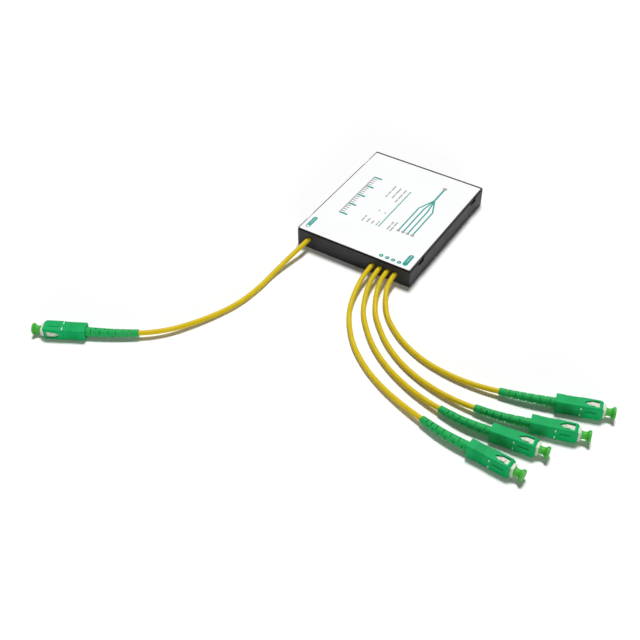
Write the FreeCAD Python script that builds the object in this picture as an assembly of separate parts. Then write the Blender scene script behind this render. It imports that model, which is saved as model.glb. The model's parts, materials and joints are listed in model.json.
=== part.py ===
import FreeCAD, Part
import math
import os
from FreeCAD import Matrix, Placement, Rotation, Vector

# Fibre splitter cassette: one input and four output pigtails leave the front
# wall of a flat box, each with a square push-pull plug and a dust cap.
# Millimetres. Origin at the centre of the box's underside, +Z up.
# The cables leave through the front wall, which faces -Y.

# ---------------------------------------------------------------- case sizes
case_width = 80.8            # X
case_length = 100.4          # Y
case_height = 12.85          # underside to the top of the lid
floor_thickness = 1.5
wall_thickness = 1.8
corner_radius = 0.6          # vertical edges of the box
lid_thickness = 1.3
lid_inset = 0.15             # lid edge behind the outer wall face
lid_edge_radius = 0.2        # lid's upper edges
seam_height = 0.75           # shadow groove round the lid's lower edge
seam_depth = 0.7
lip_thickness = 1.2          # locating rim under the lid
lip_depth = 1.6
lip_clearance = 0.3          # rim to wall
notch_length = 7.0           # openings in the long walls for the lid's tongues
notch_depth = 2.6
notch_offset = 36.0          # notch centre from the middle of the box, in Y
tongue_recess = 0.9          # tongue face behind the outer wall face
tongue_thickness = 0.8
tongue_clearance = 0.8
rim_notch_depth = 0.4        # how far the lid edge steps back over a notch
label_thickness = 0.15
label_side_margin = 0.85     # label edge to lid edge, long sides
label_front_margin = 0.25
label_back_margin = 1.8
label_corner_radius = 0.8

# ------------------------------------------------------------- cable exits
cable_diameter = 3.0
cable_hole_clearance = 0.2   # radial
exit_height = 6.5            # cable axis above the underside
input_exit_inset = 8.2       # input axis to the case's left side
output_exit_inset = 10.3     # last output's axis to the case's right side
output_pitch = 5.3
output_count = 4
block_length = 4.2           # cable block behind the front wall, in Y
block_height = 8.0
block_margin = 3.6           # block side beyond the outermost cable axis
block_bore_clearance = 0.1   # radial
straight_exit = 5.5          # straight cable beyond the front wall

# ---------------------------------------------------------- splitter module
module_width = 7.0           # steel tube
module_height = 4.0
module_wall = 0.4
module_front_gap = 8.5       # tube end behind the cable block's inner face
pad_margin = 1.2             # foam pad beyond the tube, in X
seal_length = 4.0
seal_clearance = 0.05
core_width = 5.2             # chip and fibre arrays
core_height = 2.8
input_array_length = 6.0
chip_length = 12.0
output_array_length = 8.0
fibre_diameter = 0.9
fibre_pitch = 1.3
fibre_hole_clearance = 0.1   # radial, in the end seals
fibre_bend_radius = 14.0
fibre_turn_start = 2.0       # straight fibre behind the module
fibre_wall_gap = 3.8         # outermost fibre's axis to the rear wall

# ------------------------------------------------------------------- plugs
# Plug frame of reference: +X to the ferrule, X = 0 at the grip's rear face,
# wide faces across Y, key on the +Z face.
grip_length = 25.0
grip_width = 9.0
grip_thickness = 7.4
grip_edge_radius = 1.0
grip_nose_radius = 2.2       # front corners seen on the key face
grip_waist_end = 12.8        # rear half is slightly narrower up to here
grip_waist_step = 0.2
grip_waist_radius = 0.8
grip_rear_bore_depth = 7.4
rib_start = 4.4
rib_pitch = 0.95
rib_groove = 0.4
rib_depth = 0.2
rib_count = 6
window_tip = 15.0            # latch window in each narrow face: an arrow
window_tip_width = 0.8       # that points to the rear
window_shoulder = 18.4
window_end = 22.7
window_width = 4.2
key_start = 15.5
key_length = 6.0
key_width = 2.0
key_height = 0.4

frame_start = 8.0            # inner plug frame
frame_width = 7.1
frame_thickness = 5.6
frame_clearance = 0.1        # frame to grip, each side
frame_protrusion = 1.2       # nose beyond the grip
nose_width = 6.6
nose_thickness = 4.6
nose_length = 2.5
nose_radius = 0.5
ear_start = 17.2             # latch ears in the windows
ear_ramp = 1.3
ear_length = 3.2
ear_height = 0.6
ear_width = 2.4

ferrule_diameter = 2.5
ferrule_protrusion = 3.9     # tip beyond the frame's nose
ferrule_angle = 8.0          # angled polish
flange_length = 2.2
flange_front = 22.0
ferrule_hole_clearance = 0.35
running_clearance = 0.05     # radial
ferrule_tail_diameter = 2.2
ferrule_tail_length = 4.8
frame_bore_diameter = 4.8
spring_length = 6.0
spring_diameter = 4.2
spring_wire = 0.6
spring_turns = 5
fibre_bore_diameter = 1.4

tail_diameter = 3.4          # rear body's crimp tail
stop_flange_length = 1.4
stop_flange_diameter = 5.2
cable_entry = 1.0            # cable end inside the plug
crimp_wall = 0.35
crimp_length = 8.8
crimp_gap = 0.3              # crimp ring to the rear body's flange

boot_length = 30.2           # visible part
boot_rear_diameter = 4.2
boot_front_diameter = 5.5
boot_gap = 0.3               # boot to the grip's rear bore
boot_neck_diameter = 5.1     # part of the boot inside the grip
boot_shoulder = 0.5
boot_bore_clearance = 0.1
slot_first = 2.9             # first pair of slots behind the grip
slot_pitch = 2.7             # first pair to second pair
slot_pitch_change = -0.12    # from each pitch to the next
slot_count = 12
slot_width = 0.5
slot_web = 0.67              # half web, as a share of the boot's radius
loft_count = 7               # sections of the boot's outside

cap_gap = 0.1                # dust cap to the frame's nose
cap_length = 5.3
cap_base_diameter = 4.8
cap_waist_diameter = 4.2
cap_waist_start = 1.2
cap_flare_length = 1.7       # waist to disc
cap_disc_diameter = 6.6
cap_disc_length = 1.6
cap_edge = 0.3
cap_bore_end = 0.3           # beyond the ferrule's tip

# ------------------------------------------------------------ cable routes
table_height = 1.6           # axis of a cable that lies on the table
on_edge = grip_width / 2     # plug axis, plug lying on a narrow face
on_face = grip_thickness / 2  # plug axis, plug lying on the face opposite the key
arc_share = 0.45             # share of the shorter run that an arc takes up

# Points beyond the straight exit, chosen by hand: sideways from the exit,
# forward of the front wall, and above the table. The last two of each route
# give its plug's axis: the bend in the boot, and the cable's end in the plug.
CABLE_ROUTES = {
    "input": [
        (-1.8, 17.5, 4.6), (-3.7, 35.0, table_height), (-3.5, 51.0, table_height),
        (-6.0, 70.2, table_height), (-15.0, 92.6, 2.2), (-28.6, 114.7, 3.5),
        (-50.0, 128.8, on_face), (-65.1, 136.7, on_face)],
    "output_1": [
        (0.7, 17.5, 4.6), (4.8, 34.7, table_height), (12.6, 48.8, table_height),
        (25.4, 64.4, table_height), (44.9, 78.4, 1.8), (68.6, 88.3, 2.7),
        (97.9, 96.0, on_edge), (114.6, 97.1, on_edge)],
    "output_2": [
        (1.5, 17.4, 4.6), (7.5, 33.1, table_height), (16.0, 44.6, table_height),
        (29.2, 58.2, table_height), (47.5, 69.9, 1.8), (70.3, 78.6, 2.7),
        (97.4, 83.1, on_edge), (114.3, 81.5, on_edge)],
    "output_3": [
        (2.3, 16.9, 4.6), (9.1, 31.1, table_height), (17.7, 41.0, table_height),
        (30.5, 53.1, table_height), (51.7, 64.8, 1.8), (79.2, 71.0, 2.7),
        (107.5, 69.6, on_edge), (124.0, 65.1, on_edge)],
    "output_4": [
        (2.6, 16.5, 4.6), (10.6, 29.1, table_height), (18.8, 37.0, table_height),
        (31.7, 46.0, table_height), (51.9, 53.6, 1.8), (78.9, 55.4, 2.7),
        (107.8, 49.6, on_edge), (124.1, 44.3, on_edge)],
}

# Roll of each boot about its cable: the first pair of slots to the vertical.
BOOT_ROLL = {"input": 55, "output_1": -100, "output_2": -23, "output_3": 35, "output_4": -55}

# ------------------------------------------------------------ derived sizes
front = -case_length / 2
inner_front = front + wall_thickness
block_end = inner_front + block_length
wall_top = case_height - lid_thickness
cable_radius = cable_diameter / 2
input_exit_x = -case_width / 2 + input_exit_inset
last_output_exit_x = case_width / 2 - output_exit_inset
output_exit_x = [last_output_exit_x - output_pitch * i for i in reversed(range(output_count))]
exit_x = {"input": input_exit_x}
exit_x.update({"output_%d" % (i + 1): x for i, x in enumerate(output_exit_x)})
margin = 1.0                 # how far a cutter runs past what it cuts


def box(x0, x1, y0, y1, z0, z1):
    return Part.makeBox(x1 - x0, y1 - y0, z1 - z0, Vector(x0, y0, z0))


def cylinder(radius, start, direction, length):
    return Part.makeCylinder(radius, length, start, direction)


def along_x(radius, x0, x1):
    return cylinder(radius, Vector(x0, 0, 0), Vector(1, 0, 0), x1 - x0)


def along_y(radius, x, y0, y1, z):
    return cylinder(radius, Vector(x, y0, z), Vector(0, 1, 0), y1 - y0)


def upright_prism(width, length, z0, z1, radius, x=0.0, y=0.0):
    """Box centred on x, y with rounded vertical edges."""
    prism = box(x - width / 2, x + width / 2, y - length / 2, y + length / 2, z0, z1)
    upright = [edge for edge in prism.Edges
               if abs(edge.Vertexes[0].Point.z - edge.Vertexes[1].Point.z) > (z1 - z0) / 2]
    return prism.makeFillet(radius, upright)


def bar(x0, x1, width, thickness, radius):
    """Bar along X with rounded long edges."""
    shape = box(x0, x1, -width / 2, width / 2, -thickness / 2, thickness / 2)
    long_edges = [edge for edge in shape.Edges
                  if abs(edge.Vertexes[0].Point.x - edge.Vertexes[1].Point.x) > (x1 - x0) / 2]
    return shape.makeFillet(radius, long_edges)


# -------------------------------------------------------------------- case
def notch_centres():
    return [(side, y) for side in (-1, 1) for y in (-notch_offset, notch_offset)]


def make_case_base():
    shell = upright_prism(case_width, case_length, 0, wall_top, corner_radius)
    hollow = box(-case_width / 2 + wall_thickness, case_width / 2 - wall_thickness,
                 inner_front, -inner_front, floor_thickness, wall_top + margin)
    cuts = [hollow]
    for side, y in notch_centres():
        outer = side * (case_width / 2 + margin)
        inner = side * (case_width / 2 - wall_thickness - margin)
        cuts.append(box(min(outer, inner), max(outer, inner),
                        y - notch_length / 2, y + notch_length / 2,
                        wall_top - notch_depth, wall_top + margin))
    for x in exit_x.values():
        cuts.append(along_y(cable_radius + cable_hole_clearance, x,
                            front - margin, inner_front + margin, exit_height))
    return shell.cut(cuts)


def make_case_lid():
    width = case_width - 2 * lid_inset
    length = case_length - 2 * lid_inset
    plate = upright_prism(width, length, wall_top, case_height, corner_radius)
    upper = [edge for edge in plate.Edges if abs(edge.CenterOfMass.z - case_height) < 1e-6]
    plate = plate.makeFillet(lid_edge_radius, upper)
    groove = upright_prism(width + 2 * margin, length + 2 * margin,
                           wall_top - margin, wall_top + seam_height, corner_radius)
    groove = groove.cut(upright_prism(case_width - 2 * seam_depth, case_length - 2 * seam_depth,
                                      wall_top - 2 * margin, wall_top + 2 * margin, corner_radius))
    lip_half_x = case_width / 2 - wall_thickness - lip_clearance
    lip_half_y = case_length / 2 - wall_thickness - lip_clearance
    lip = box(-lip_half_x, lip_half_x, -lip_half_y, lip_half_y, wall_top - lip_depth, wall_top)
    lip = lip.cut(box(-lip_half_x + lip_thickness, lip_half_x - lip_thickness,
                      -lip_half_y + lip_thickness, lip_half_y - lip_thickness,
                      wall_top - lip_depth - margin, wall_top + margin))
    lid = plate.cut(groove).fuse(lip)
    for side, y in notch_centres():
        edge = side * (width / 2 - rim_notch_depth)
        beyond = side * (width / 2 + margin)
        lid = lid.cut(box(min(edge, beyond), max(edge, beyond),
                          y - notch_length / 2, y + notch_length / 2,
                          wall_top - margin, case_height + margin))
        outer = side * (case_width / 2 - tongue_recess)
        inner = outer - side * tongue_thickness
        half = notch_length / 2 - tongue_clearance
        lid = lid.fuse(box(min(outer, inner), max(outer, inner), y - half, y + half,
                           wall_top - notch_depth + tongue_clearance, wall_top + seam_height))
    return lid.removeSplitter()


def make_top_label():
    width = case_width - 2 * (lid_inset + label_side_margin)
    y0 = -case_length / 2 + lid_inset + label_front_margin
    y1 = case_length / 2 - lid_inset - label_back_margin
    return upright_prism(width, y1 - y0, case_height, case_height + label_thickness,
                         label_corner_radius, y=(y0 + y1) / 2)


def make_cable_block(positions):
    block = box(min(positions) - block_margin, max(positions) + block_margin,
                inner_front, block_end, floor_thickness, floor_thickness + block_height)
    bores = [along_y(cable_radius + block_bore_clearance, x, inner_front - margin,
                     block_end + margin, exit_height) for x in positions]
    return block.cut(bores)


# ---------------------------------------------------------- splitter module
module_x = input_exit_x
fibre_offsets = [fibre_pitch * ((output_count - 1) / 2 - i) for i in range(output_count)]
fibre_radii = [fibre_bend_radius + fibre_offsets[0] - offset for offset in fibre_offsets]
fibre_turn_y = -inner_front - fibre_wall_gap - fibre_radii[-1]
module_y0 = block_end + module_front_gap
module_y1 = fibre_turn_y - fibre_turn_start
module_length = module_y1 - module_y0
module_z0 = exit_height - module_height / 2
core_floor = module_z0 + module_wall
core_y0 = module_y0 + (module_length - input_array_length - chip_length - output_array_length) / 2
chip_y0 = core_y0 + input_array_length
output_array_y0 = chip_y0 + chip_length
core_y1 = output_array_y0 + output_array_length


def make_splitter_tube():
    half = module_width / 2
    tube = box(module_x - half, module_x + half, module_y0, module_y1,
               module_z0, module_z0 + module_height)
    inside = half - module_wall
    return tube.cut(box(module_x - inside, module_x + inside, module_y0 - margin, module_y1 + margin,
                        core_floor, module_z0 + module_height - module_wall))


def make_foam_pad():
    half = module_width / 2 + pad_margin
    return box(module_x - half, module_x + half, module_y0, module_y1, floor_thickness, module_z0)


def make_core(y0, length):
    return box(module_x - core_width / 2, module_x + core_width / 2, y0, y0 + length,
               core_floor, core_floor + core_height)


def make_end_seal(y0, fibre_positions):
    half = module_width / 2 - module_wall - seal_clearance
    seal = box(module_x - half, module_x + half, y0, y0 + seal_length,
               core_floor, module_z0 + module_height - module_wall - seal_clearance)
    radius = fibre_diameter / 2 + fibre_hole_clearance
    holes = [along_y(radius, x, y0 - margin, y0 + seal_length + margin, exit_height)
             for x in fibre_positions]
    return seal.cut(holes)


def make_input_fibre():
    return along_y(fibre_diameter / 2, input_exit_x, block_end, core_y0, exit_height)


def quarter_turn(start, corner, end):
    """Arc edge that leaves start towards corner and arrives at end from it."""
    centre = start + (end - corner)
    middle = (start + end) * 0.5 - centre
    middle.normalize()
    return Part.Arc(start, centre + middle * (start - centre).Length, end).toShape()


def make_output_fibre(index):
    """Fibre from the module's rear end round the back of the case to its cable."""
    x0 = module_x + fibre_offsets[index]
    x1 = output_exit_x[index]
    first_radius = fibre_radii[index]
    top = fibre_turn_y + first_radius
    z = exit_height
    points = [Vector(x0, core_y1, z), Vector(x0, fibre_turn_y, z), Vector(x0, top, z),
              Vector(x0 + first_radius, top, z), Vector(x1 - fibre_bend_radius, top, z),
              Vector(x1, top, z), Vector(x1, top - fibre_bend_radius, z), Vector(x1, block_end, z)]
    edges = [
        Part.LineSegment(points[0], points[1]).toShape(),
        quarter_turn(points[1], points[2], points[3]),
        Part.LineSegment(points[3], points[4]).toShape(),
        quarter_turn(points[4], points[5], points[6]),
        Part.LineSegment(points[6], points[7]).toShape(),
    ]
    return sweep_circle(edges, fibre_diameter / 2)


# ----------------------------------------------------------------- cables
def cable_points(name):
    x = exit_x[name]
    start = [Vector(x, block_end, exit_height), Vector(x, front - straight_exit, exit_height)]
    return start + [Vector(x + sideways, front - forward, height)
                    for sideways, forward, height in CABLE_ROUTES[name]]


def route_edges(points):
    """Straight runs joined by tangent arcs, and the radius of each arc."""
    edges = []
    radii = []
    start = points[0]
    for before, corner, after in zip(points, points[1:], points[2:]):
        back = before - corner
        ahead = after - corner
        tangent_length = arc_share * min(back.Length, ahead.Length)
        back.normalize()
        ahead.normalize()
        turn = math.pi - back.getAngle(ahead)
        radius = tangent_length / math.tan(turn / 2)
        bisector = back + ahead
        bisector.normalize()
        middle = corner + bisector * (radius / math.cos(turn / 2) - radius)
        arc_start = corner + back * tangent_length
        arc_end = corner + ahead * tangent_length
        edges.append(Part.LineSegment(start, arc_start).toShape())
        edges.append(Part.Arc(arc_start, middle, arc_end).toShape())
        radii.append(radius)
        start = arc_end
    edges.append(Part.LineSegment(start, points[-1]).toShape())
    return edges, radii


def sweep_circle(edges, radius):
    first = edges[0]
    start = first.valueAt(first.FirstParameter)
    direction = first.tangentAt(first.FirstParameter)
    profile = Part.Wire([Part.makeCircle(radius, start, direction)])
    return Part.Wire(edges).makePipeShell([profile], True, False)


def station(edges, distance_from_end):
    """Point and direction of travel on the route, measured back from its end."""
    left = distance_from_end
    for edge in reversed(edges):
        if left <= edge.Length or edge is edges[0]:
            parameter = edge.getParameterByLength(edge.Length - left)
            return edge.valueAt(parameter), edge.tangentAt(parameter)
        left -= edge.Length


# ------------------------------------------------------------------- boots
def boot_radius(distance):
    share = min(max(distance / boot_length, 0.0), 1.0)
    return (boot_front_diameter + (boot_rear_diameter - boot_front_diameter) * share) / 2


def slot_cutters(edges, distance, roll):
    """Two cutters, one each side of the boot, at a distance behind the grip."""
    point, travel = station(edges, distance + cable_entry)
    side = Vector(0, 0, 1).cross(travel)
    side.normalize()
    up = travel.cross(side)
    turn = math.radians(roll)
    outward = up * math.cos(turn) + side * math.sin(turn)
    across = side * math.cos(turn) - up * math.sin(turn)
    radius = boot_radius(distance)
    web = slot_web * radius
    reach = radius + margin - web
    cutters = []
    for sign in (-1, 1):
        block = Part.makeBox(slot_width, 2 * (radius + margin), reach,
                             Vector(-slot_width / 2, -radius - margin, web))
        frame = Matrix(travel.x, across.x, outward.x * sign, point.x,
                       travel.y, across.y, outward.y * sign, point.y,
                       travel.z, across.z, outward.z * sign, point.z,
                       0, 0, 0, 1)
        cutters.append(block.transformGeometry(frame))
    return cutters


def make_boot(edges, pose, roll):
    """Tapered slotted sleeve that follows the end of its cable's route."""
    spacing = (boot_length + boot_shoulder) / (loft_count - 1)
    rings = []
    for index in range(loft_count):
        distance = spacing * index - boot_shoulder
        point, travel = station(edges, distance + cable_entry)
        rings.append(Part.Wire([Part.makeCircle(boot_radius(distance), point, travel)]))
    sleeve = Part.makeLoft(rings, True, False)
    crimp_front = tail_end - crimp_gap
    neck = along_x(boot_neck_diameter / 2, 0, crimp_front)
    neck.Placement = pose
    sleeve = sleeve.fuse(neck)
    crimp_space = along_x(crimp_outer_radius + running_clearance,
                          crimp_front - crimp_length - crimp_gap, crimp_front + margin)
    crimp_space.Placement = pose
    bore = sweep_circle(edges[-5:], cable_radius + boot_bore_clearance)
    slots = []
    for index in range(slot_count):
        pitch_changes = index * (index - 1) / 2
        distance = slot_first + slot_pitch * index + slot_pitch_change * pitch_changes
        slots += slot_cutters(edges, distance, roll + 90 * (index % 2))
    return sleeve.cut(slots).cut([crimp_space, bore])


# ------------------------------------------------------------------- plugs
frame_end = grip_length + frame_protrusion
ferrule_tip = frame_end + ferrule_protrusion
flange_rear = flange_front - flange_length
spring_rear = flange_rear - spring_length
tail_end = frame_start - stop_flange_length
crimp_inner_radius = tail_diameter / 2 + running_clearance
crimp_outer_radius = crimp_inner_radius + crimp_wall
frame_bore_radius = frame_bore_diameter / 2


def make_window_cutter():
    half_tip = window_tip_width / 2
    half = window_width / 2
    outline = [Vector(window_tip, -grip_width, -half_tip), Vector(window_shoulder, -grip_width, -half),
               Vector(window_end, -grip_width, -half), Vector(window_end, -grip_width, half),
               Vector(window_shoulder, -grip_width, half), Vector(window_tip, -grip_width, half_tip)]
    face = Part.Face(Part.makePolygon(outline + outline[:1]))
    return face.extrude(Vector(0, 2 * grip_width, 0))


def make_grip():
    """Outer push-pull housing with its key, latch windows and finger ribs."""
    head = box(grip_waist_end, grip_length, -grip_width / 2, grip_width / 2,
               -grip_thickness / 2, grip_thickness / 2)
    corners = [edge for edge in head.Edges
               if abs(edge.CenterOfMass.x - grip_length) < 1e-6 and abs(edge.CenterOfMass.z) < 1e-6]
    head = head.makeFillet(grip_nose_radius, corners)
    rim = [edge for edge in head.Edges
           if abs(abs(edge.CenterOfMass.z) - grip_thickness / 2) < 1e-6
           and edge.CenterOfMass.x > grip_waist_end + 1e-6]
    head = head.makeFillet(grip_edge_radius, rim)
    waist = bar(0, grip_waist_end + margin, grip_width - 2 * grip_waist_step,
                grip_thickness - 2 * grip_waist_step, grip_waist_radius)
    grip = head.fuse(waist)
    key = box(key_start, key_start + key_length, -key_width / 2, key_width / 2,
              grip_thickness / 2 - grip_edge_radius / 2, grip_thickness / 2 + key_height)
    grip = grip.fuse(key)
    half_width = frame_width / 2 + frame_clearance
    half_thickness = frame_thickness / 2 + frame_clearance
    cuts = [box(grip_rear_bore_depth, grip_length + margin, -half_width, half_width,
                -half_thickness, half_thickness)]
    cuts.append(along_x(boot_front_diameter / 2 + boot_gap, -margin, grip_rear_bore_depth + margin))
    cuts.append(make_window_cutter())
    core = bar(rib_start - margin, grip_waist_end, grip_width - 2 * (grip_waist_step + rib_depth),
               grip_thickness - 2 * (grip_waist_step + rib_depth), grip_waist_radius)
    for index in range(rib_count):
        x0 = rib_start + rib_pitch * index
        ring = box(x0, x0 + rib_groove, -grip_width, grip_width, -grip_width, grip_width)
        cuts.append(ring.cut(core))
    return grip.cut(cuts).removeSplitter()


def make_plug_frame():
    """Inner frame: latch ears in the grip's windows, nose beyond its front."""
    nose_start = frame_end - nose_length
    body = box(frame_start, nose_start, -frame_width / 2, frame_width / 2,
               -frame_thickness / 2, frame_thickness / 2)
    body = body.fuse(bar(nose_start - margin, frame_end, nose_width, nose_thickness, nose_radius))
    root = frame_width / 2 - ear_height
    crest = frame_width / 2 + ear_height
    for side in (-1, 1):
        outline = [Vector(ear_start, side * root, -ear_width / 2),
                   Vector(ear_start, side * frame_width / 2, -ear_width / 2),
                   Vector(ear_start + ear_ramp, side * crest, -ear_width / 2),
                   Vector(ear_start + ear_length, side * crest, -ear_width / 2),
                   Vector(ear_start + ear_length, side * root, -ear_width / 2)]
        face = Part.Face(Part.makePolygon(outline + outline[:1]))
        body = body.fuse(face.extrude(Vector(0, 0, ear_width)))
    hole = ferrule_diameter / 2 + ferrule_hole_clearance
    return body.cut([along_x(frame_bore_radius, frame_start - margin, flange_front),
                     along_x(hole, flange_front - margin, frame_end + margin)]).removeSplitter()


def make_rear_body():
    """Sleeve behind the spring, with the tail that the crimp ring grips."""
    tail = along_x(tail_diameter / 2, cable_entry, tail_end)
    flange = along_x(stop_flange_diameter / 2, tail_end, frame_start)
    barrel = along_x(frame_bore_radius - running_clearance, frame_start, spring_rear)
    body = tail.fuse([flange, barrel]).removeSplitter()
    return body.cut(along_x(fibre_bore_diameter / 2, cable_entry - margin, spring_rear + margin))


def make_crimp_ring():
    front_end = tail_end - crimp_gap
    ring = along_x(crimp_outer_radius, front_end - crimp_length, front_end)
    return ring.cut(along_x(crimp_inner_radius, front_end - crimp_length - margin, front_end + margin))


def make_spring():
    """Close coil, as a sleeve with one ridge for each turn."""
    pitch = spring_length / spring_turns
    crest = spring_diameter / 2
    valley = crest - spring_wire / 2
    inner = crest - spring_wire
    profile = [Vector(spring_rear, inner, 0)]
    for turn in range(spring_turns):
        x0 = spring_rear + pitch * turn
        profile += [Vector(x0, valley, 0), Vector(x0 + pitch / 2, crest, 0)]
    profile += [Vector(flange_rear, valley, 0), Vector(flange_rear, inner, 0)]
    return revolve(Part.makePolygon(profile + profile[:1]))


def make_ferrule():
    """Ceramic ferrule with an angled tip, pressed in its metal flange."""
    radius = ferrule_diameter / 2
    stick = along_x(radius, flange_rear, ferrule_tip + radius)
    cut_size = 4 * radius
    tip = box(0, cut_size, -cut_size / 2, cut_size / 2, -cut_size / 2, cut_size / 2)
    tip.Placement = Placement(Vector(ferrule_tip, 0, 0), Rotation(Vector(0, 1, 0), ferrule_angle))
    flange = along_x(frame_bore_radius - running_clearance, flange_rear, flange_front)
    tail = along_x(ferrule_tail_diameter / 2, flange_rear - ferrule_tail_length, flange_rear)
    solid = stick.cut(tip).fuse([flange, tail]).removeSplitter()
    bore = along_x(fibre_diameter / 2, flange_rear - ferrule_tail_length - margin, flange_rear)
    return solid.cut(bore)


def make_dust_cap():
    """Spool-shaped push-on cap: tapered base, waist, hollow flare and end disc."""
    x0 = frame_end + cap_gap
    x1 = x0 + cap_length
    bore = ferrule_diameter / 2 + running_clearance
    bore_end = ferrule_tip + cap_bore_end
    waist = cap_waist_diameter / 2
    disc = cap_disc_diameter / 2
    disc_x = x1 - cap_disc_length
    flare_x = disc_x - cap_flare_length
    rise = disc - cap_edge - waist
    flare_radius = (cap_flare_length ** 2 + rise ** 2) / (2 * rise)
    half_sweep = math.asin(cap_flare_length / flare_radius) / 2
    middle = Vector(flare_x + flare_radius * math.sin(half_sweep),
                    waist + flare_radius * (1 - math.cos(half_sweep)), 0)
    base = [Vector(bore_end, 0, 0), Vector(bore_end, bore, 0), Vector(x0, bore, 0),
            Vector(x0, cap_base_diameter / 2, 0), Vector(x0 + cap_waist_start, waist, 0),
            Vector(flare_x, waist, 0)]
    end = [Vector(disc_x, disc - cap_edge, 0), Vector(disc_x + cap_edge, disc, 0),
           Vector(x1 - cap_edge, disc, 0), Vector(x1, disc - cap_edge, 0), Vector(x1, 0, 0),
           Vector(bore_end, 0, 0)]
    flare = Part.Arc(base[-1], middle, end[0]).toShape()
    edges = Part.makePolygon(base).Edges + [flare] + Part.makePolygon(end).Edges
    return revolve(Part.Wire(edges))


def revolve(outline):
    return Part.Face(outline).revolve(Vector(0, 0, 0), Vector(1, 0, 0), 360)


def plug_pose(points, roll):
    """Placement that lays the plug's axis on the last run of its cable."""
    axis = points[-1] - points[-2]
    axis.normalize()
    heading = math.degrees(math.atan2(axis.y, axis.x))
    origin = points[-1] - axis * cable_entry
    turn = Rotation(Vector(0, 0, 1), heading).multiply(Rotation(Vector(1, 0, 0), roll))
    return Placement(origin, turn)


def make_pigtail(name):
    """Every piece of one pigtail, by node name."""
    points = cable_points(name)
    edges, radii = route_edges(points)
    cable = sweep_circle(edges, cable_radius)
    length = sum(edge.Length for edge in edges)
    expected = math.pi * cable_radius ** 2 * length
    print("%-9s cable %.0f mm, volume / (section x length) %.4f, radii %s" % (
        name, length, cable.Volume / expected, " ".join("%.0f" % r for r in radii)))
    pose = plug_pose(points, 0 if name == "input" else 90)
    pieces = {
        "rear_body": make_rear_body(),
        "crimp_ring": make_crimp_ring(),
        "spring": make_spring(),
        "ferrule": make_ferrule(),
        "plug_frame": make_plug_frame(),
        "grip": make_grip(),
        "dust_cap": make_dust_cap(),
    }
    for piece in pieces.values():
        piece.Placement = pose
    pieces["cable"] = cable
    pieces["boot"] = make_boot(edges, pose, BOOT_ROLL[name])
    return {"%s_%s" % (name, piece): shape for piece, shape in pieces.items()}


def make_nodes():
    seals = [make_end_seal(module_y0, [module_x]),
             make_end_seal(module_y1 - seal_length, [module_x + x for x in fibre_offsets])]
    nodes = {
        "case_base": make_case_base(),
        "case_lid": make_case_lid(),
        "top_label": make_top_label(),
        "input_cable_block": make_cable_block([input_exit_x]),
        "output_cable_block": make_cable_block(output_exit_x),
        "splitter_tube": make_splitter_tube(),
        "foam_pad": make_foam_pad(),
        "input_fibre_array": make_core(core_y0, input_array_length),
        "splitter_chip": make_core(chip_y0, chip_length),
        "output_fibre_array": make_core(output_array_y0, output_array_length),
        "tube_end_seals": Part.makeCompound(seals),
        "input_fibre": make_input_fibre(),
        "output_fibres": Part.makeCompound([make_output_fibre(i) for i in range(output_count)]),
    }
    for name in CABLE_ROUTES:
        nodes.update(make_pigtail(name))
    return nodes


os.makedirs("parts", exist_ok=True)
for node, shape in make_nodes().items():
    if not shape.isValid():
        print("not valid:", node)
    shape.exportStep("parts/%s.step" % node)
print("pieces written")
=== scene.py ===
import json
import math

import bpy
from mathutils import Matrix, Vector


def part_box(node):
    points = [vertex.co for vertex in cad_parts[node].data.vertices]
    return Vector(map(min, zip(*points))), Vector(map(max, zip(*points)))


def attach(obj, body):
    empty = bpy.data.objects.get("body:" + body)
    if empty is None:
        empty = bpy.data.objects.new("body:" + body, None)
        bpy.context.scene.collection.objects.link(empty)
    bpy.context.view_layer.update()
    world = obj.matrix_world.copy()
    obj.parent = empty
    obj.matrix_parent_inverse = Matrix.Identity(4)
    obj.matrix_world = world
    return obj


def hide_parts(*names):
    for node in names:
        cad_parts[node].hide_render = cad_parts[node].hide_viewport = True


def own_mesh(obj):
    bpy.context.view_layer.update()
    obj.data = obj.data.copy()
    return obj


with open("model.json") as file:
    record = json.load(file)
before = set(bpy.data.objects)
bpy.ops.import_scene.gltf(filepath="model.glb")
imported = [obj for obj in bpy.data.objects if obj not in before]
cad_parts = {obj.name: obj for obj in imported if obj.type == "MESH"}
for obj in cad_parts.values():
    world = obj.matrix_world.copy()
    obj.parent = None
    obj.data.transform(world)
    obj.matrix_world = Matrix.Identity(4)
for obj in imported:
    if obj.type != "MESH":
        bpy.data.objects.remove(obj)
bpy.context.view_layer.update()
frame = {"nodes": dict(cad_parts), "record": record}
nodes = frame["nodes"]

MM = 0.001
PIGTAILS = ("input", "output_1", "output_2", "output_3", "output_4")

# --------------------------------------------------------------- camera
LENS = 57.24                # mm, on a sensor 36 mm wide
CAMERA_PLACE = (0.24196, -0.47183, 0.40956)
CAMERA_TILT = 46.76         # degrees up from straight down
CAMERA_TURN = 32.21         # degrees round the vertical
camera_data = bpy.data.cameras.new("camera")
camera_data.lens = LENS
camera_data.sensor_width = 36.0
camera_data.clip_start = 0.01
camera = bpy.data.objects.new("camera", camera_data)
camera.location = CAMERA_PLACE
camera.rotation_euler = (math.radians(CAMERA_TILT), 0.0, math.radians(CAMERA_TURN))
bpy.context.scene.collection.objects.link(camera)
bpy.context.scene.camera = camera
bpy.context.scene.view_settings.view_transform = "Standard"

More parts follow.
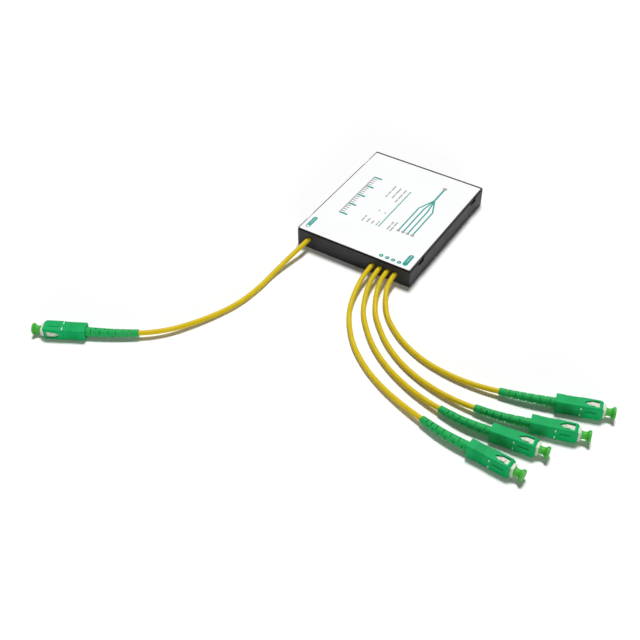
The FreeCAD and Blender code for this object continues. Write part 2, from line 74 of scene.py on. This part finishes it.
# --------------------------------------------------------------- cables
# Routes in metres: inside the case, straight out of the front wall, down to
# the table, along it, and up into the plug. The last two points give the
# plug's axis.
CABLE_DIAMETER = 3.0 * MM
ROUTES = {
    "input": [
        (-0.0322, -0.0442, 0.0065), (-0.0322, -0.0557, 0.0065), (-0.0340, -0.0677, 0.0046),
        (-0.0359, -0.0852, 0.0016), (-0.0357, -0.1012, 0.0016), (-0.0382, -0.1204, 0.0016),
        (-0.0472, -0.1428, 0.0022), (-0.0608, -0.1649, 0.0035), (-0.0822, -0.1790, 0.0037),
        (-0.0973, -0.1869, 0.0037)],
    "output_1": [
        (0.0142, -0.0442, 0.0065), (0.0142, -0.0557, 0.0065), (0.0149, -0.0677, 0.0046),
        (0.0190, -0.0849, 0.0016), (0.0268, -0.0990, 0.0016), (0.0396, -0.1146, 0.0016),
        (0.0591, -0.1286, 0.0018), (0.0828, -0.1385, 0.0027), (0.1121, -0.1462, 0.0045),
        (0.1288, -0.1473, 0.0045)],
    "output_2": [
        (0.0195, -0.0442, 0.0065), (0.0195, -0.0557, 0.0065), (0.0210, -0.0676, 0.0046),
        (0.0270, -0.0833, 0.0016), (0.0355, -0.0948, 0.0016), (0.0487, -0.1084, 0.0016),
        (0.0670, -0.1201, 0.0018), (0.0898, -0.1288, 0.0027), (0.1169, -0.1333, 0.0045),
        (0.1338, -0.1317, 0.0045)],
    "output_3": [
        (0.0248, -0.0442, 0.0065), (0.0248, -0.0557, 0.0065), (0.0271, -0.0671, 0.0046),
        (0.0339, -0.0813, 0.0016), (0.0425, -0.0912, 0.0016), (0.0553, -0.1033, 0.0016),
        (0.0765, -0.1150, 0.0018), (0.1040, -0.1212, 0.0027), (0.1323, -0.1198, 0.0045),
        (0.1488, -0.1153, 0.0045)],
    "output_4": [
        (0.0301, -0.0442, 0.0065), (0.0301, -0.0557, 0.0065), (0.0327, -0.0667, 0.0046),
        (0.0407, -0.0793, 0.0016), (0.0489, -0.0872, 0.0016), (0.0618, -0.0962, 0.0016),
        (0.0820, -0.1038, 0.0018), (0.1090, -0.1056, 0.0027), (0.1379, -0.0998, 0.0045),
        (0.1542, -0.0945, 0.0045)],
}
# Each cable from the case to its plug, as part.py builds it.
CORD_STEPS = 24             # between two route points
CORD_ORDER = 3
CORD_BEVEL_STEPS = 8


def make_cable(name):
    """One smooth cord on its route's points.

    Each point's radius, times a bevel of 1, makes the cord's own radius, so that
    the curve's box is the cord's box too.
    """
    curve = bpy.data.curves.new(name + "_cable_cord", "CURVE")
    curve.dimensions = "3D"
    curve.resolution_u = CORD_STEPS
    spline = curve.splines.new("NURBS")
    route = ROUTES[name]
    spline.points.add(len(route) - 1)
    for point, place in zip(spline.points, route):
        point.co = (*place, 1.0)
        point.radius = CABLE_DIAMETER / 2
    spline.order_u = CORD_ORDER
    spline.use_endpoint_u = True
    curve.bevel_depth = 1.0
    curve.bevel_resolution = CORD_BEVEL_STEPS
    curve.use_fill_caps = True
    cable = bpy.data.objects.new(name + "_cable_cord", curve)
    bpy.context.scene.collection.objects.link(cable)
    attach(cable, "case")
    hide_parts(name + "_cable")
    return cable


# --------------------------------------------------------------- materials
def new_material(name):
    material = bpy.data.materials.new(name)
    material.use_nodes = True
    tree = material.node_tree
    shader = tree.nodes["Principled BSDF"]
    return material, tree, shader


def noise(tree, coords, scale, detail=3.0, roughness=0.55):
    made = tree.nodes.new("ShaderNodeTexNoise")
    made.inputs["Scale"].default_value = scale
    made.inputs["Detail"].default_value = detail
    made.inputs["Roughness"].default_value = roughness
    tree.links.new(coords, made.inputs["Vector"])
    return made.outputs["Fac"]


def ramp(tree, value, low, high, out_low, out_high):
    made = tree.nodes.new("ShaderNodeMapRange")
    made.inputs["From Min"].default_value = low
    made.inputs["From Max"].default_value = high
    made.inputs["To Min"].default_value = out_low
    made.inputs["To Max"].default_value = out_high
    tree.links.new(value, made.inputs["Value"])
    return made.outputs["Result"]


def mix_colour(tree, factor, first, second):
    made = tree.nodes.new("ShaderNodeMix")
    made.data_type = "RGBA"
    made.inputs["A"].default_value = (*first, 1.0)
    made.inputs["B"].default_value = (*second, 1.0)
    tree.links.new(factor, made.inputs["Factor"])
    return made.outputs["Result"]


def bump(tree, height, strength, distance):
    made = tree.nodes.new("ShaderNodeBump")
    made.inputs["Strength"].default_value = strength
    made.inputs["Distance"].default_value = distance
    tree.links.new(height, made.inputs["Height"])
    return made.outputs["Normal"]


NOISE_LOW = 0.3             # the noise hardly leaves these values
NOISE_HIGH = 0.7
SHEEN_PATCH = 2.3           # sheen varies this much finer than the colour
GRAIN_DETAIL = 4.0
GRAIN_STRENGTH = 0.25
SUBSURFACE_RADIUS = (0.6, 1.0, 0.5)
SUBSURFACE_SCALE = 0.8      # mm


def moulded(name, dark, light, roughness=(0.4, 0.5), patch=180.0, grain=2600.0,
            grain_height=0.012, metallic=0.0, coat=0.0, subsurface=0.0, specular=0.5):
    """Plastic or metal with slow colour drift, a fine grain and uneven sheen.

    patch and grain are noise scales for each metre, grain_height is in millimetres.
    """
    material, tree, shader = new_material(name)
    coords = tree.nodes.new("ShaderNodeTexCoord").outputs["Object"]
    drift = ramp(tree, noise(tree, coords, patch), NOISE_LOW, NOISE_HIGH, 0.0, 1.0)
    tree.links.new(mix_colour(tree, drift, dark, light), shader.inputs["Base Color"])
    sheen = ramp(tree, noise(tree, coords, patch * SHEEN_PATCH), NOISE_LOW, NOISE_HIGH,
                 *roughness)
    tree.links.new(sheen, shader.inputs["Roughness"])
    fine = noise(tree, coords, grain, GRAIN_DETAIL)
    tree.links.new(bump(tree, fine, GRAIN_STRENGTH, grain_height * MM), shader.inputs["Normal"])
    shader.inputs["Metallic"].default_value = metallic
    shader.inputs["Specular IOR Level"].default_value = specular
    shader.inputs["Coat Weight"].default_value = coat
    if subsurface:
        shader.inputs["Subsurface Weight"].default_value = subsurface
        shader.inputs["Subsurface Radius"].default_value = SUBSURFACE_RADIUS
        shader.inputs["Subsurface Scale"].default_value = SUBSURFACE_SCALE * MM
    return material


MATERIALS = {
    "case_plastic": moulded("case_plastic_look", (0.014, 0.014, 0.016), (0.020, 0.020, 0.022),
                            (0.46, 0.56), 90.0, 3800.0, 0.02, specular=0.35),
    # The lid's own black, made darker than the base's as painted shade for the seam band under
    # the label's edge.
    "lid_plastic": moulded("lid_black_and_painted_seam_shade_look", (0.008, 0.008, 0.009), (0.012, 0.012, 0.013),
                           (0.46, 0.56), 90.0, 3800.0, 0.02, specular=0.3),
    "label_film": moulded("label_film_look", (0.865, 0.87, 0.875), (0.885, 0.89, 0.895),
                          (0.42, 0.50), 60.0, 1500.0, 0.006, specular=0.3),
    "cable_jacket": moulded("cable_jacket_look", (0.60, 0.44, 0.001), (0.67, 0.50, 0.003),
                            (0.44, 0.54), 220.0, 2400.0, 0.02, subsurface=0.04, specular=0.2),
    "boot_rubber": moulded("boot_rubber_look", (0.006, 0.34, 0.075), (0.012, 0.39, 0.095),
                           (0.50, 0.60), 260.0, 3200.0, 0.015, specular=0.18),
    "grip_plastic": moulded("grip_plastic_look", (0.001, 0.35, 0.092), (0.001, 0.39, 0.111),
                            (0.44, 0.54), 200.0, 3600.0, 0.012, specular=0.12),
    "frame_plastic": moulded("frame_plastic_look", (0.56, 0.60, 0.50), (0.64, 0.67, 0.57),
                             (0.40, 0.5), 240.0, 3000.0, 0.01, subsurface=0.1),
    "cap_plastic": moulded("cap_plastic_look", (0.040, 0.37, 0.030), (0.055, 0.42, 0.042),
                           (0.40, 0.50), 300.0, 3000.0, 0.01, subsurface=0.06, specular=0.25),
    "crimp_brass": moulded("crimp_brass_look", (0.62, 0.46, 0.22), (0.74, 0.57, 0.30),
                           (0.24, 0.36), 500.0, 4200.0, 0.01, metallic=1.0),
    "plated_metal": moulded("plated_metal_look", (0.52, 0.52, 0.50), (0.62, 0.62, 0.60),
                            (0.22, 0.32), 500.0, 4200.0, 0.008, metallic=1.0),
    "spring_steel": moulded("spring_steel_look", (0.46, 0.46, 0.47), (0.56, 0.56, 0.58),
                            (0.26, 0.34), 600.0, 5200.0, 0.006, metallic=1.0),
    "ceramic": moulded("ceramic_look", (0.86, 0.86, 0.83), (0.90, 0.90, 0.88),
                       (0.16, 0.22), 300.0, 4200.0, 0.004, coat=0.3),
    "module_steel": moulded("module_steel_look", (0.50, 0.50, 0.52), (0.60, 0.60, 0.62),
                            (0.26, 0.40), 120.0, 4200.0, 0.01, metallic=1.0),
    "foam": moulded("foam_look", (0.62, 0.62, 0.60), (0.74, 0.74, 0.72),
                    (0.85, 0.95), 900.0, 1800.0, 0.12),
    "silica": moulded("silica_look", (0.66, 0.74, 0.76), (0.74, 0.80, 0.82),
                      (0.12, 0.2), 300.0, 4200.0, 0.004, coat=0.4),
    "seal_resin": moulded("seal_resin_look", (0.05, 0.05, 0.05), (0.08, 0.08, 0.08),
                          (0.5, 0.62), 500.0, 3200.0, 0.03),
    "fibre_coating": moulded("fibre_coating_look", (0.72, 0.75, 0.77), (0.80, 0.83, 0.85),
                             (0.28, 0.36), 500.0, 4200.0, 0.006),
    "block_plastic": moulded("block_plastic_look", (0.045, 0.045, 0.048), (0.06, 0.06, 0.064),
                             (0.45, 0.55), 300.0, 3600.0, 0.02),
}
PRINT = {
    "teal": moulded("print_teal_look", (0.001, 0.275, 0.235), (0.002, 0.315, 0.27),
                    (0.42, 0.50), 400.0, 2600.0, 0.004, specular=0.2),
    "grey": moulded("print_grey_look", (0.33, 0.33, 0.335), (0.37, 0.37, 0.375),
                    (0.42, 0.50), 400.0, 2600.0, 0.004, specular=0.2),
    "white": moulded("print_white_look", (0.76, 0.82, 0.78), (0.82, 0.87, 0.83),
                     (0.42, 0.50), 400.0, 2600.0, 0.004, specular=0.2),
}

for row in frame["record"]["subparts"]:
    for material_slot in nodes[row["node"]].material_slots:
        material_slot.material = MATERIALS[row["material_slot"]]

cables = {name: make_cable(name) for name in PIGTAILS}
for cable in cables.values():
    cable.data.materials.append(MATERIALS["cable_jacket"])


# --------------------------------------------------------------- plug poses
PLUG_SETBACK = 1.0          # plug's origin behind the end of its cable
OUTPUT_ROLL = 90.0          # the output plugs lie on their sides


def plug_pose(name):
    """Matrix from the plug's own axes (X to the ferrule, key on +Z) to the part."""
    before, end = (Vector(point) for point in ROUTES[name][-2:])
    axis = (end - before).normalized()
    heading = math.atan2(axis.y, axis.x)
    roll = 0.0 if name == "input" else math.radians(OUTPUT_ROLL)
    turn = Matrix.Rotation(heading, 4, "Z") @ Matrix.Rotation(roll, 4, "X")
    return Matrix.Translation(end - axis * PLUG_SETBACK * MM) @ turn, axis


# --------------------------------------------------------------- mesh tools
def mesh_object(name, verts, faces, material, body):
    """A mesh piece with one material, riding on a body."""
    mesh = bpy.data.meshes.new(name)
    mesh.from_pydata(verts, [], faces)
    mesh.materials.append(material)
    mesh.validate()
    made = bpy.data.objects.new(name, mesh)
    bpy.context.scene.collection.objects.link(made)
    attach(made, body)
    return made


# Marks are in millimetres. Those that cross lie at slightly different heights,
# so no two faces coincide.
HEIGHT_STEP = 0.001
HEIGHT_STEPS = 18
DISC_SIDES = 28
CAPSULE_END_SIDES = 12


def slabs(outlines, low, high):
    """Verts and faces of thin prisms, one for each outline of (x, y) points."""
    verts, faces = [], []
    for index, outline in enumerate(outlines):
        count = len(outline)
        base = len(verts)
        top = high + HEIGHT_STEP * (index % HEIGHT_STEPS)
        verts += [(x, y, low) for x, y in outline] + [(x, y, top) for x, y in outline]
        faces.append(tuple(base + i for i in reversed(range(count))))
        faces.append(tuple(base + count + i for i in range(count)))
        for i in range(count):
            j = (i + 1) % count
            faces.append((base + i, base + j, base + count + j, base + count + i))
    return verts, faces


def arc_points(x, y, radius, start, end, steps):
    return [(x + radius * math.cos(start + (end - start) * i / steps),
             y + radius * math.sin(start + (end - start) * i / steps))
            for i in range(steps + 1)]


def capsule(x, y0, y1, width):
    """Rounded bar along Y."""
    radius = width / 2
    sides = CAPSULE_END_SIDES
    return (arc_points(x, y1 - radius, radius, 0.0, math.pi, sides)
            + arc_points(x, y0 + radius, radius, math.pi, 2 * math.pi, sides))


def bar(x, y0, y1, width):
    return [(x - width / 2, y0), (x + width / 2, y0), (x + width / 2, y1), (x - width / 2, y1)]


def disc(x, y, radius):
    last = DISC_SIDES - 1
    return arc_points(x, y, radius, 0.0, 2 * math.pi * last / DISC_SIDES, last)


def stroke(start, end, width):
    """Straight stroke between two points."""
    (x0, y0), (x1, y1) = start, end
    length = math.hypot(x1 - x0, y1 - y0)
    side_x = -(y1 - y0) / length * width / 2
    side_y = (x1 - x0) / length * width / 2
    return [(x0 - side_x, y0 - side_y), (x1 - side_x, y1 - side_y),
            (x1 + side_x, y1 + side_y), (x0 + side_x, y0 + side_y)]


# --------------------------------------------------------------- label print
# Plain marks on the label: port pills and dots, a divider, rows
# of bars where a text would be, a plain scale, and a one-to-four tree.
LABEL_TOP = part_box("top_label")[1].z / MM
LAYER_HEIGHT = 0.02         # one layer of print above the next
LAYER_SINK = 0.03           # foot of the print below the label's face
PORT_X = (18.1, 22.3, 26.4, 30.5)
PORT_Y = -46.4
PORT_RADIUS = 1.4
PORT_CENTRE_RADIUS = 0.4
# Each pill's X, its two ends along Y, and its width.
INPUT_PILL = (-35.6, -47.0, -35.1, 3.0)
OUTPUT_PILL = (34.4, -47.5, -36.2, 3.3)
INPUT_PILL_DASHES = (-42.6, -41.2, -39.8, -38.4, -37.0)
OUTPUT_PILL_DASHES = (-43.4, -42.0, -40.6, -39.2, -37.8)
INPUT_DASH_WIDTH = 1.0
OUTPUT_DASH_WIDTH = 1.1
PILL_DASH = 0.35
INPUT_DOT_Y = -45.6
INPUT_DOT_RADIUS = 0.95
DIVIDER = (2.4, -22.7, 20.6, 0.7)
SCALE_X = -26.3
SCALE_HALF = 22.8
SCALE_LINE = 0.8
SHORT_TICK = 0.85
TALL_TICK = 1.5
TALL_TICK_EXTRA = 0.3       # how far a tall tick reaches past the long line
SCALE_FIRST_TICK = -22.4
SCALE_TICKS = 21
SCALE_TICK_PITCH = 2.24
SCALE_TALL_EACH = 5
SHORT_TICK_END = -23.2
TALL_TICK_END = -20.6
TREE_ENDS_X = (15.0, 18.3, 21.6, 24.9)
TREE_TRUNK = 1.3
TREE_LINE = 0.95
TREE_START_DOT = 1.5
TREE_END_DOT = 1.2
TREE_START_Y = 34.5
TREE_SPLIT_Y = 20.0
TREE_FAN_Y = 8.0
TREE_END_Y = -18.5
ROW_THICKNESS = 0.95
# Each row's X, then its bars along Y.
TEXT_ROWS = (
    (-9.0, ((21.0, 15.4), (14.4, 10.6), (9.6, 7.2))),
    (-4.9, ((20.4, 13.2), (12.3, 8.0))),
    (-1.0, ((20.6, 16.0), (15.0, 9.6), (8.8, 5.4))),
    (-5.2, ((-7.2, -8.4),)),
    (-0.8, ((-7.6, -8.8),)),
    (-9.6, ((-16.4, -18.6), (-19.4, -22.8))),
    (-6.1, ((-18.0, -22.4),)),
    (-2.8, ((-19.0, -22.3),)),
    (0.4, ((-17.6, -19.0), (-19.9, -22.2))),
    (10.8, ((-12.6, -17.0), (-18.0, -22.8))),
    (8.4, ((-13.4, -16.6), (-17.6, -22.2))),
)


def print_layer(name, outlines, colour, step):
    low = LABEL_TOP - LAYER_SINK
    high = LABEL_TOP + LAYER_HEIGHT * step
    verts, faces = slabs(outlines, low, high)
    verts = [(x * MM, y * MM, z * MM) for x, y, z in verts]
    mesh_object(name, verts, faces, PRINT[colour], "lid")


def scale_marks():
    """A plain graduated scale: a long line, short ticks and a longer one each fifth."""
    line = [bar(SCALE_X, -SCALE_HALF, SCALE_HALF, SCALE_LINE)]
    short, tall = [], []
    for index in range(SCALE_TICKS):
        y = SCALE_FIRST_TICK + SCALE_TICK_PITCH * index
        if index % SCALE_TALL_EACH:
            short.append(stroke((SCALE_X, y), (SHORT_TICK_END, y), SHORT_TICK))
        else:
            tall.append(stroke((SCALE_X - TALL_TICK_EXTRA, y), (TALL_TICK_END, y), TALL_TICK))
    return line + short, tall


def tree_marks():
    """One line that splits to four, each with a dot at its end."""
    middle = sum(TREE_ENDS_X) / len(TREE_ENDS_X)
    lines = [stroke((middle, TREE_START_Y), (middle, TREE_SPLIT_Y), TREE_TRUNK)]
    dots = [disc(middle, TREE_START_Y + 0.5, TREE_START_DOT)]
    for x in TREE_ENDS_X:
        lines.append(stroke((middle, TREE_SPLIT_Y + 0.4), (x, TREE_FAN_Y), TREE_LINE))
        lines.append(bar(x, TREE_END_Y, TREE_FAN_Y + 0.2, TREE_LINE))
        dots.append(disc(x, TREE_END_Y - 0.8, TREE_END_DOT))
    return lines, dots


def text_rows():
    """Grey bars in rows, as small text looks from a step away."""
    return [bar(x, low, high, ROW_THICKNESS) for x, spans in TEXT_ROWS for high, low in spans]


def pill_dashes(x, starts, width):
    return [bar(x, y, y + PILL_DASH, width) for y in starts]


def make_label_print():
    scale_line, scale_ticks = scale_marks()
    tree_lines, tree_dots = tree_marks()
    teal = [bar(*DIVIDER), capsule(*INPUT_PILL), capsule(*OUTPUT_PILL)]
    teal += [disc(x, PORT_Y, PORT_RADIUS) for x in PORT_X]
    teal += tree_lines + scale_ticks
    grey = scale_line + text_rows() + tree_dots
    white = [disc(x, PORT_Y, PORT_CENTRE_RADIUS) for x in PORT_X]
    white += [disc(INPUT_PILL[0], INPUT_DOT_Y, INPUT_DOT_RADIUS)]
    white += pill_dashes(INPUT_PILL[0], INPUT_PILL_DASHES, INPUT_DASH_WIDTH)
    white += pill_dashes(OUTPUT_PILL[0], OUTPUT_PILL_DASHES, OUTPUT_DASH_WIDTH)
    print_layer("label_print_teal", teal, "teal", 1)
    print_layer("label_print_grey", grey, "grey", 2)
    print_layer("label_print_white", white, "white", 3)


make_label_print()


# --------------------------------------------------------------- plug marks
GRIP_FACE = 3.7             # key face above the plug's axis
DASH_SINK = 0.05
DASH_RISE = 0.025
DASH_BACK = 13.1            # along the plug's axis
DASH_FRONT = 13.55
DASH_SPANS = ((-3.1, -1.6), (1.6, 3.1))
INPUT_DASH_SPANS = ((-3.8, -1.4), (1.4, 3.8))


def make_plug_marks(name):
    """Two white dashes across the key face of the grip."""
    pose, _ = plug_pose(name)
    spans = INPUT_DASH_SPANS if name == "input" else DASH_SPANS
    outlines = [[(DASH_BACK, y0), (DASH_FRONT, y0), (DASH_FRONT, y1), (DASH_BACK, y1)]
                for y0, y1 in spans]
    verts, faces = slabs(outlines, GRIP_FACE - DASH_SINK, GRIP_FACE + DASH_RISE)
    verts = [pose @ Vector((x * MM, y * MM, z * MM)) for x, y, z in verts]
    mesh_object(name + "_grip_marks", verts, faces, PRINT["white"],
                name + "_grip_slide_body")


for name in PIGTAILS:
    make_plug_marks(name)


# --------------------------------------------------------------- springs
SPRING_REAR = 13.8          # along the plug's axis
SPRING_LENGTH = 6.0
WIRE_RADIUS = 0.27
COIL_RADIUS = 1.8           # to the wire's centre
COIL_TURNS = 6.5
WIRE_SIDES = 10
STEPS_PER_TURN = 24
END_TURN_SHARE = 0.1        # share of the length that the closed end turns take


def coil_height(step, steps):
    """How far up the coil a step lies: slow through the end turns, even between them."""
    turn = step / STEPS_PER_TURN
    share = step / steps
    eased = min(max((turn - 1.0) / (COIL_TURNS - 2.0), 0.0), 1.0)
    travel = SPRING_LENGTH - 2 * WIRE_RADIUS
    return SPRING_REAR + WIRE_RADIUS + travel * (
        END_TURN_SHARE * share + (1 - END_TURN_SHARE) * eased)


def coil_ring(x, angle):
    """Points round the wire where it passes this angle of the coil."""
    out = Vector((0.0, math.cos(angle), math.sin(angle)))
    ring = []
    for k in range(WIRE_SIDES):
        twist = 2 * math.pi * k / WIRE_SIDES
        along = Vector((x + WIRE_RADIUS * math.sin(twist), 0, 0))
        ring.append(out * (COIL_RADIUS + WIRE_RADIUS * math.cos(twist)) + along)
    return ring


def tube_faces(steps, sides):
    """Side faces of a tube of rings, with a face to close each end."""
    faces = []
    for step in range(steps):
        for k in range(sides):
            a = step * sides + k
            b = step * sides + (k + 1) % sides
            faces.append((a, b, b + sides, a + sides))
    faces.append(tuple(reversed(range(sides))))
    faces.append(tuple(steps * sides + k for k in range(sides)))
    return faces


def make_spring(name):
    """Closed-end coil of round wire in place of the plain sleeve."""
    pose, axis = plug_pose(name)
    steps = int(COIL_TURNS * STEPS_PER_TURN)
    verts = []
    for step in range(steps + 1):
        angle = 2 * math.pi * (step / STEPS_PER_TURN)
        ring = coil_ring(coil_height(step, steps), angle)
        verts += [pose @ (point * MM) for point in ring]
    spring = mesh_object(name + "_coil", verts, tube_faces(steps, WIRE_SIDES),
                         MATERIALS["spring_steel"], "case")
    for polygon in spring.data.polygons:
        polygon.use_smooth = True
    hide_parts(name + "_spring")
    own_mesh(spring)
    return spring


coils = {name: make_spring(name) for name in PIGTAILS}


# --------------------------------------------------------------- stage
FLOOR_HALF = 6.0
FLOOR_WHITE = (0.93, 0.93, 0.93, 1.0)
FLOOR_GLOW = 0.03           # seen by the camera alone
ROOM_LIGHT = 0.08           # the world's own light on the object
ROOM_SEEN = 1.0             # how bright the camera and reflections see it


def make_floor():
    mesh = bpy.data.meshes.new("floor")
    half = FLOOR_HALF
    mesh.from_pydata([(-half, -half, 0), (half, -half, 0), (half, half, 0), (-half, half, 0)],
                     [], [(0, 1, 2, 3)])
    floor = bpy.data.objects.new("floor", mesh)
    bpy.context.scene.collection.objects.link(floor)
    material, tree, shader = new_material("floor_look")
    shader.inputs["Base Color"].default_value = FLOOR_WHITE
    shader.inputs["Roughness"].default_value = 1.0
    shader.inputs["Specular IOR Level"].default_value = 0.0
    paths = tree.nodes.new("ShaderNodeLightPath")
    glow = tree.nodes.new("ShaderNodeEmission")
    glow.inputs["Strength"].default_value = FLOOR_GLOW
    add = tree.nodes.new("ShaderNodeAddShader")
    pick = tree.nodes.new("ShaderNodeMixShader")
    tree.links.new(shader.outputs["BSDF"], add.inputs[0])
    tree.links.new(glow.outputs["Emission"], add.inputs[1])
    tree.links.new(paths.outputs["Is Camera Ray"], pick.inputs["Fac"])
    tree.links.new(shader.outputs["BSDF"], pick.inputs[1])
    tree.links.new(add.outputs["Shader"], pick.inputs[2])
    tree.links.new(pick.outputs["Shader"], tree.nodes["Material Output"].inputs["Surface"])
    mesh.materials.append(material)


def make_world():
    """White where it is seen, and a faint even light everywhere else."""
    world = bpy.data.worlds.new("studio")
    bpy.context.scene.world = world
    world.use_nodes = True
    tree = world.node_tree
    background = tree.nodes["Background"]
    background.inputs["Color"].default_value = (1.0, 1.0, 1.0, 1.0)
    paths = tree.nodes.new("ShaderNodeLightPath")
    seen = tree.nodes.new("ShaderNodeMath")
    seen.operation = "MAXIMUM"
    tree.links.new(paths.outputs["Is Camera Ray"], seen.inputs[0])
    tree.links.new(paths.outputs["Is Glossy Ray"], seen.inputs[1])
    seen_through = tree.nodes.new("ShaderNodeMath")
    seen_through.operation = "MAXIMUM"
    tree.links.new(seen.outputs[0], seen_through.inputs[0])
    tree.links.new(paths.outputs["Is Transmission Ray"], seen_through.inputs[1])
    strength = ramp(tree, seen_through.outputs[0], 0.0, 1.0, ROOM_LIGHT, ROOM_SEEN)
    tree.links.new(strength, background.inputs["Strength"])


def make_sun(name, energy, degrees, travel):
    """A soft distant lamp: its strength, its disc's angle, and the way its light goes."""
    data = bpy.data.lights.new(name, "SUN")
    data.energy = energy
    data.angle = math.radians(degrees)
    lamp = bpy.data.objects.new(name, data)
    lamp.rotation_euler = Vector(travel).to_track_quat("-Z", "Y").to_euler()
    bpy.context.scene.collection.objects.link(lamp)


make_floor()
make_world()
make_sun("key", energy=3.2, degrees=15.0, travel=(0.17, -0.37, -1.0))
make_sun("fill", energy=1.75, degrees=24.0, travel=(-0.62, 0.76, -0.07))
